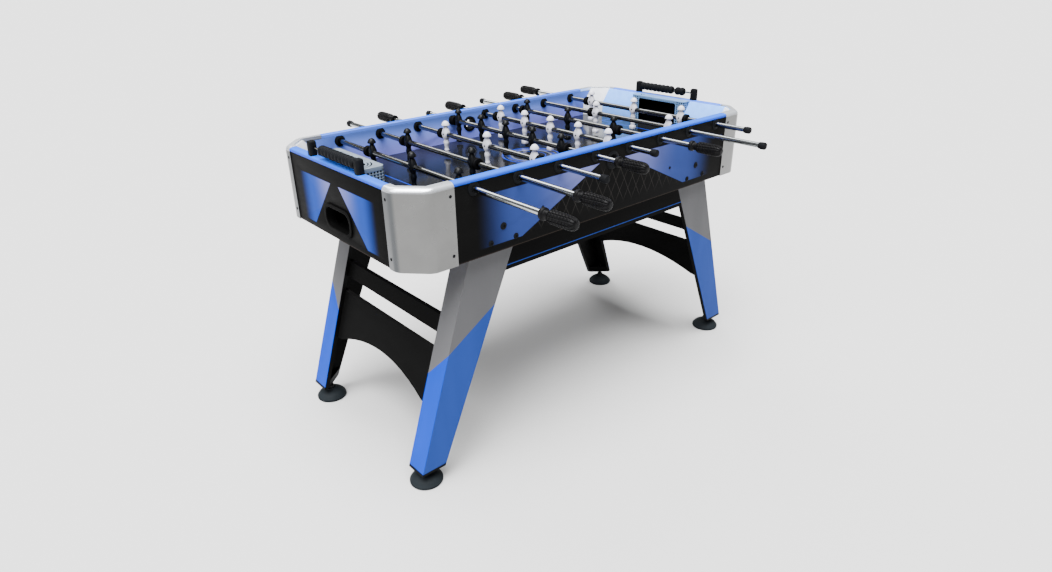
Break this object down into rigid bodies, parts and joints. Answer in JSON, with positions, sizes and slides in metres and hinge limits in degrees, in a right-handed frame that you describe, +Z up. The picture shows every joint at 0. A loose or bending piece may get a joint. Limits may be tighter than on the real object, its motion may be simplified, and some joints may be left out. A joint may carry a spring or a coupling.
{
  "type": "foosball table",
  "caption": "Foosball table with splayed legs, levelling feet, cut-corner cabinet, sliding and spinning player rods, goals, ball returns and bead scorers.",
  "frame": {"origin": "floor level under the middle of the cabinet, where its two planes of symmetry meet; the rods stand pulled out by different amounts, so the middle of the overall box is about 42 mm towards the front of this point", "axes": "+X along the table from the near end to the far end, +Y across it from the front long side to the back one, +Z up"},
  "size_m": [1.47, 1.3466, 0.928],
  "materials": {
    "printed_panel": "black laminated board with a satin blue, lilac and dark grey print",
    "blue_rail": "semi-gloss sky blue",
    "playing_field": "glossy dark navy laminate with blue markings",
    "silver_plastic": "satin metallic silver",
    "leg_laminate": "satin laminate, grey above and blue below a slanted line",
    "black_board": "satin black laminate",
    "goal_plastic": "satin light blue",
    "black_plastic": "satin black",
    "black_grip": "satin black, ribbed",
    "black_players": "chromed steel tube with satin black moulded players",
    "white_players": "chromed steel tube with satin white moulded players",
    "rubber": "matt black"
  },
  "bodies": {
    "cabinet": {"panel_front": "printed_panel", "panel_back": "printed_panel", "panel_near_end": "printed_panel", "panel_far_end": "printed_panel", "rail_front": "blue_rail", "rail_back": "blue_rail", "rail_near_end": "blue_rail", "rail_far_end": "blue_rail", "playing_field": "playing_field", "corner_cover_near_front": "silver_plastic", "leg_near_front": "leg_laminate", "corner_cover_near_back": "silver_plastic", "leg_near_back": "leg_laminate", "corner_cover_far_front": "silver_plastic", "leg_far_front": "leg_laminate", "corner_cover_far_back": "silver_plastic", "leg_far_back": "leg_laminate", "goal_end_near": "goal_plastic", "ball_return_near": "black_plastic", "stretcher_near": "black_board", "arch_panel_near": "black_board", "score_rack_near": "black_plastic", "goal_end_far": "goal_plastic", "ball_return_far": "black_plastic", "stretcher_far": "black_board", "arch_panel_far": "black_board", "score_rack_far": "black_plastic", "apron_front": "black_board", "apron_back": "black_board"},
    "leveller_near_front": {"leveller_near_front": "rubber"},
    "leveller_near_back": {"leveller_near_back": "rubber"},
    "leveller_far_front": {"leveller_far_front": "rubber"},
    "leveller_far_back": {"leveller_far_back": "rubber"},
    "score_beads_near": {"score_beads_near": "black_plastic"},
    "score_beads_far_a": {"score_beads_far_a": "black_plastic"},
    "score_beads_far_b": {"score_beads_far_b": "black_plastic"},
    "slider_1": {"bumper_1": "rubber"},
    "rod_1": {"rod_1": "black_players", "handle_1": "black_grip"},
    "slider_2": {"bumper_2": "rubber"},
    "rod_2": {"rod_2": "black_players", "handle_2": "black_grip"},
    "slider_3": {"bumper_3": "rubber"},
    "rod_3": {"rod_3": "white_players", "handle_3": "black_grip"},
    "slider_4": {"bumper_4": "rubber"},
    "rod_4": {"rod_4": "black_players", "handle_4": "black_grip"},
    "slider_5": {"bumper_5": "rubber"},
    "rod_5": {"rod_5": "white_players", "handle_5": "black_grip"},
    "slider_6": {"bumper_6": "rubber"},
    "rod_6": {"rod_6": "black_players", "handle_6": "black_grip"},
    "slider_7": {"bumper_7": "rubber"},
    "rod_7": {"rod_7": "white_players", "handle_7": "black_grip"},
    "slider_8": {"bumper_8": "rubber"},
    "rod_8": {"rod_8": "white_players", "handle_8": "black_grip"}
  },
  "joints": [
    {"name": "leveller_near_front_screw", "type": "slide", "parent": "cabinet", "child": "leveller_near_front", "axis": [0, 0, -1], "range_m": [0, 0.015]},
    {"name": "leveller_near_back_screw", "type": "slide", "parent": "cabinet", "child": "leveller_near_back", "axis": [0, 0, -1], "range_m": [0, 0.015]},
    {"name": "leveller_far_front_screw", "type": "slide", "parent": "cabinet", "child": "leveller_far_front", "axis": [0, 0, -1], "range_m": [0, 0.015]},
    {"name": "leveller_far_back_screw", "type": "slide", "parent": "cabinet", "child": "leveller_far_back", "axis": [0, 0, -1], "range_m": [0, 0.015]},
    {"name": "score_beads_near_slide", "type": "slide", "parent": "cabinet", "child": "score_beads_near", "axis": [0, 1, 0], "range_m": [0, 0.045]},
    {"name": "score_beads_far_a_slide", "type": "slide", "parent": "cabinet", "child": "score_beads_far_a", "axis": [0, -1, 0], "range_m": [0, 0.0065]},
    {"name": "score_beads_far_b_slide", "type": "slide", "parent": "cabinet", "child": "score_beads_far_b", "axis": [0, -1, 0], "range_m": [-0.006, 0.031]},
    {"name": "rod_1_slide", "type": "slide", "parent": "cabinet", "child": "slider_1", "axis": [0, 1, 0], "range_m": [-0.0005, 0.1685]},
    {"name": "rod_1_spin", "type": "hinge", "parent": "slider_1", "child": "rod_1", "pos_m": [-0.51275, 0, 0.861], "axis": [0, 1, 0], "continuous": true},
    {"name": "rod_2_slide", "type": "slide", "parent": "cabinet", "child": "slider_2", "axis": [0, 1, 0], "range_m": [-0.138, 0.132]},
    {"name": "rod_2_spin", "type": "hinge", "parent": "slider_2", "child": "rod_2", "pos_m": [-0.36625, 0, 0.861], "axis": [0, 1, 0], "continuous": true},
    {"name": "rod_3_slide", "type": "slide", "parent": "cabinet", "child": "slider_3", "axis": [0, 1, 0], "range_m": [-0.0395, 0.1295]},
    {"name": "rod_3_spin", "type": "hinge", "parent": "slider_3", "child": "rod_3", "pos_m": [-0.21975, 0, 0.861], "axis": [0, 1, 0], "continuous": true},
    {"name": "rod_4_slide", "type": "slide", "parent": "cabinet", "child": "slider_4", "axis": [0, 1, 0], "range_m": [-0.0825, 0.0005]},
    {"name": "rod_4_spin", "type": "hinge", "parent": "slider_4", "child": "rod_4", "pos_m": [-0.07325, 0, 0.861], "axis": [0, 1, 0], "continuous": true},
    {"name": "rod_5_slide", "type": "slide", "parent": "cabinet", "child": "slider_5", "axis": [0, 1, 0], "range_m": [-0.0275, 0.0555]},
    {"name": "rod_5_spin", "type": "hinge", "parent": "slider_5", "child": "rod_5", "pos_m": [0.07325, 0, 0.861], "axis": [0, 1, 0], "continuous": true},
    {"name": "rod_6_slide", "type": "slide", "parent": "cabinet", "child": "slider_6", "axis": [0, 1, 0], "range_m": [-0.1365, 0.0325]},
    {"name": "rod_6_spin", "type": "hinge", "parent": "slider_6", "child": "rod_6", "pos_m": [0.21975, 0, 0.861], "axis": [0, 1, 0], "continuous": true},
    {"name": "rod_7_slide", "type": "slide", "parent": "cabinet", "child": "slider_7", "axis": [0, 1, 0], "range_m": [-0.025, 0.245]},
    {"name": "rod_7_spin", "type": "hinge", "parent": "slider_7", "child": "rod_7", "pos_m": [0.36625, 0, 0.861], "axis": [0, 1, 0], "continuous": true},
    {"name": "rod_8_slide", "type": "slide", "parent": "cabinet", "child": "slider_8", "axis": [0, 1, 0], "range_m": [-0.0855, 0.0835]},
    {"name": "rod_8_spin", "type": "hinge", "parent": "slider_8", "child": "rod_8", "pos_m": [0.51275, 0, 0.861], "axis": [0, 1, 0], "continuous": true}
  ]
}
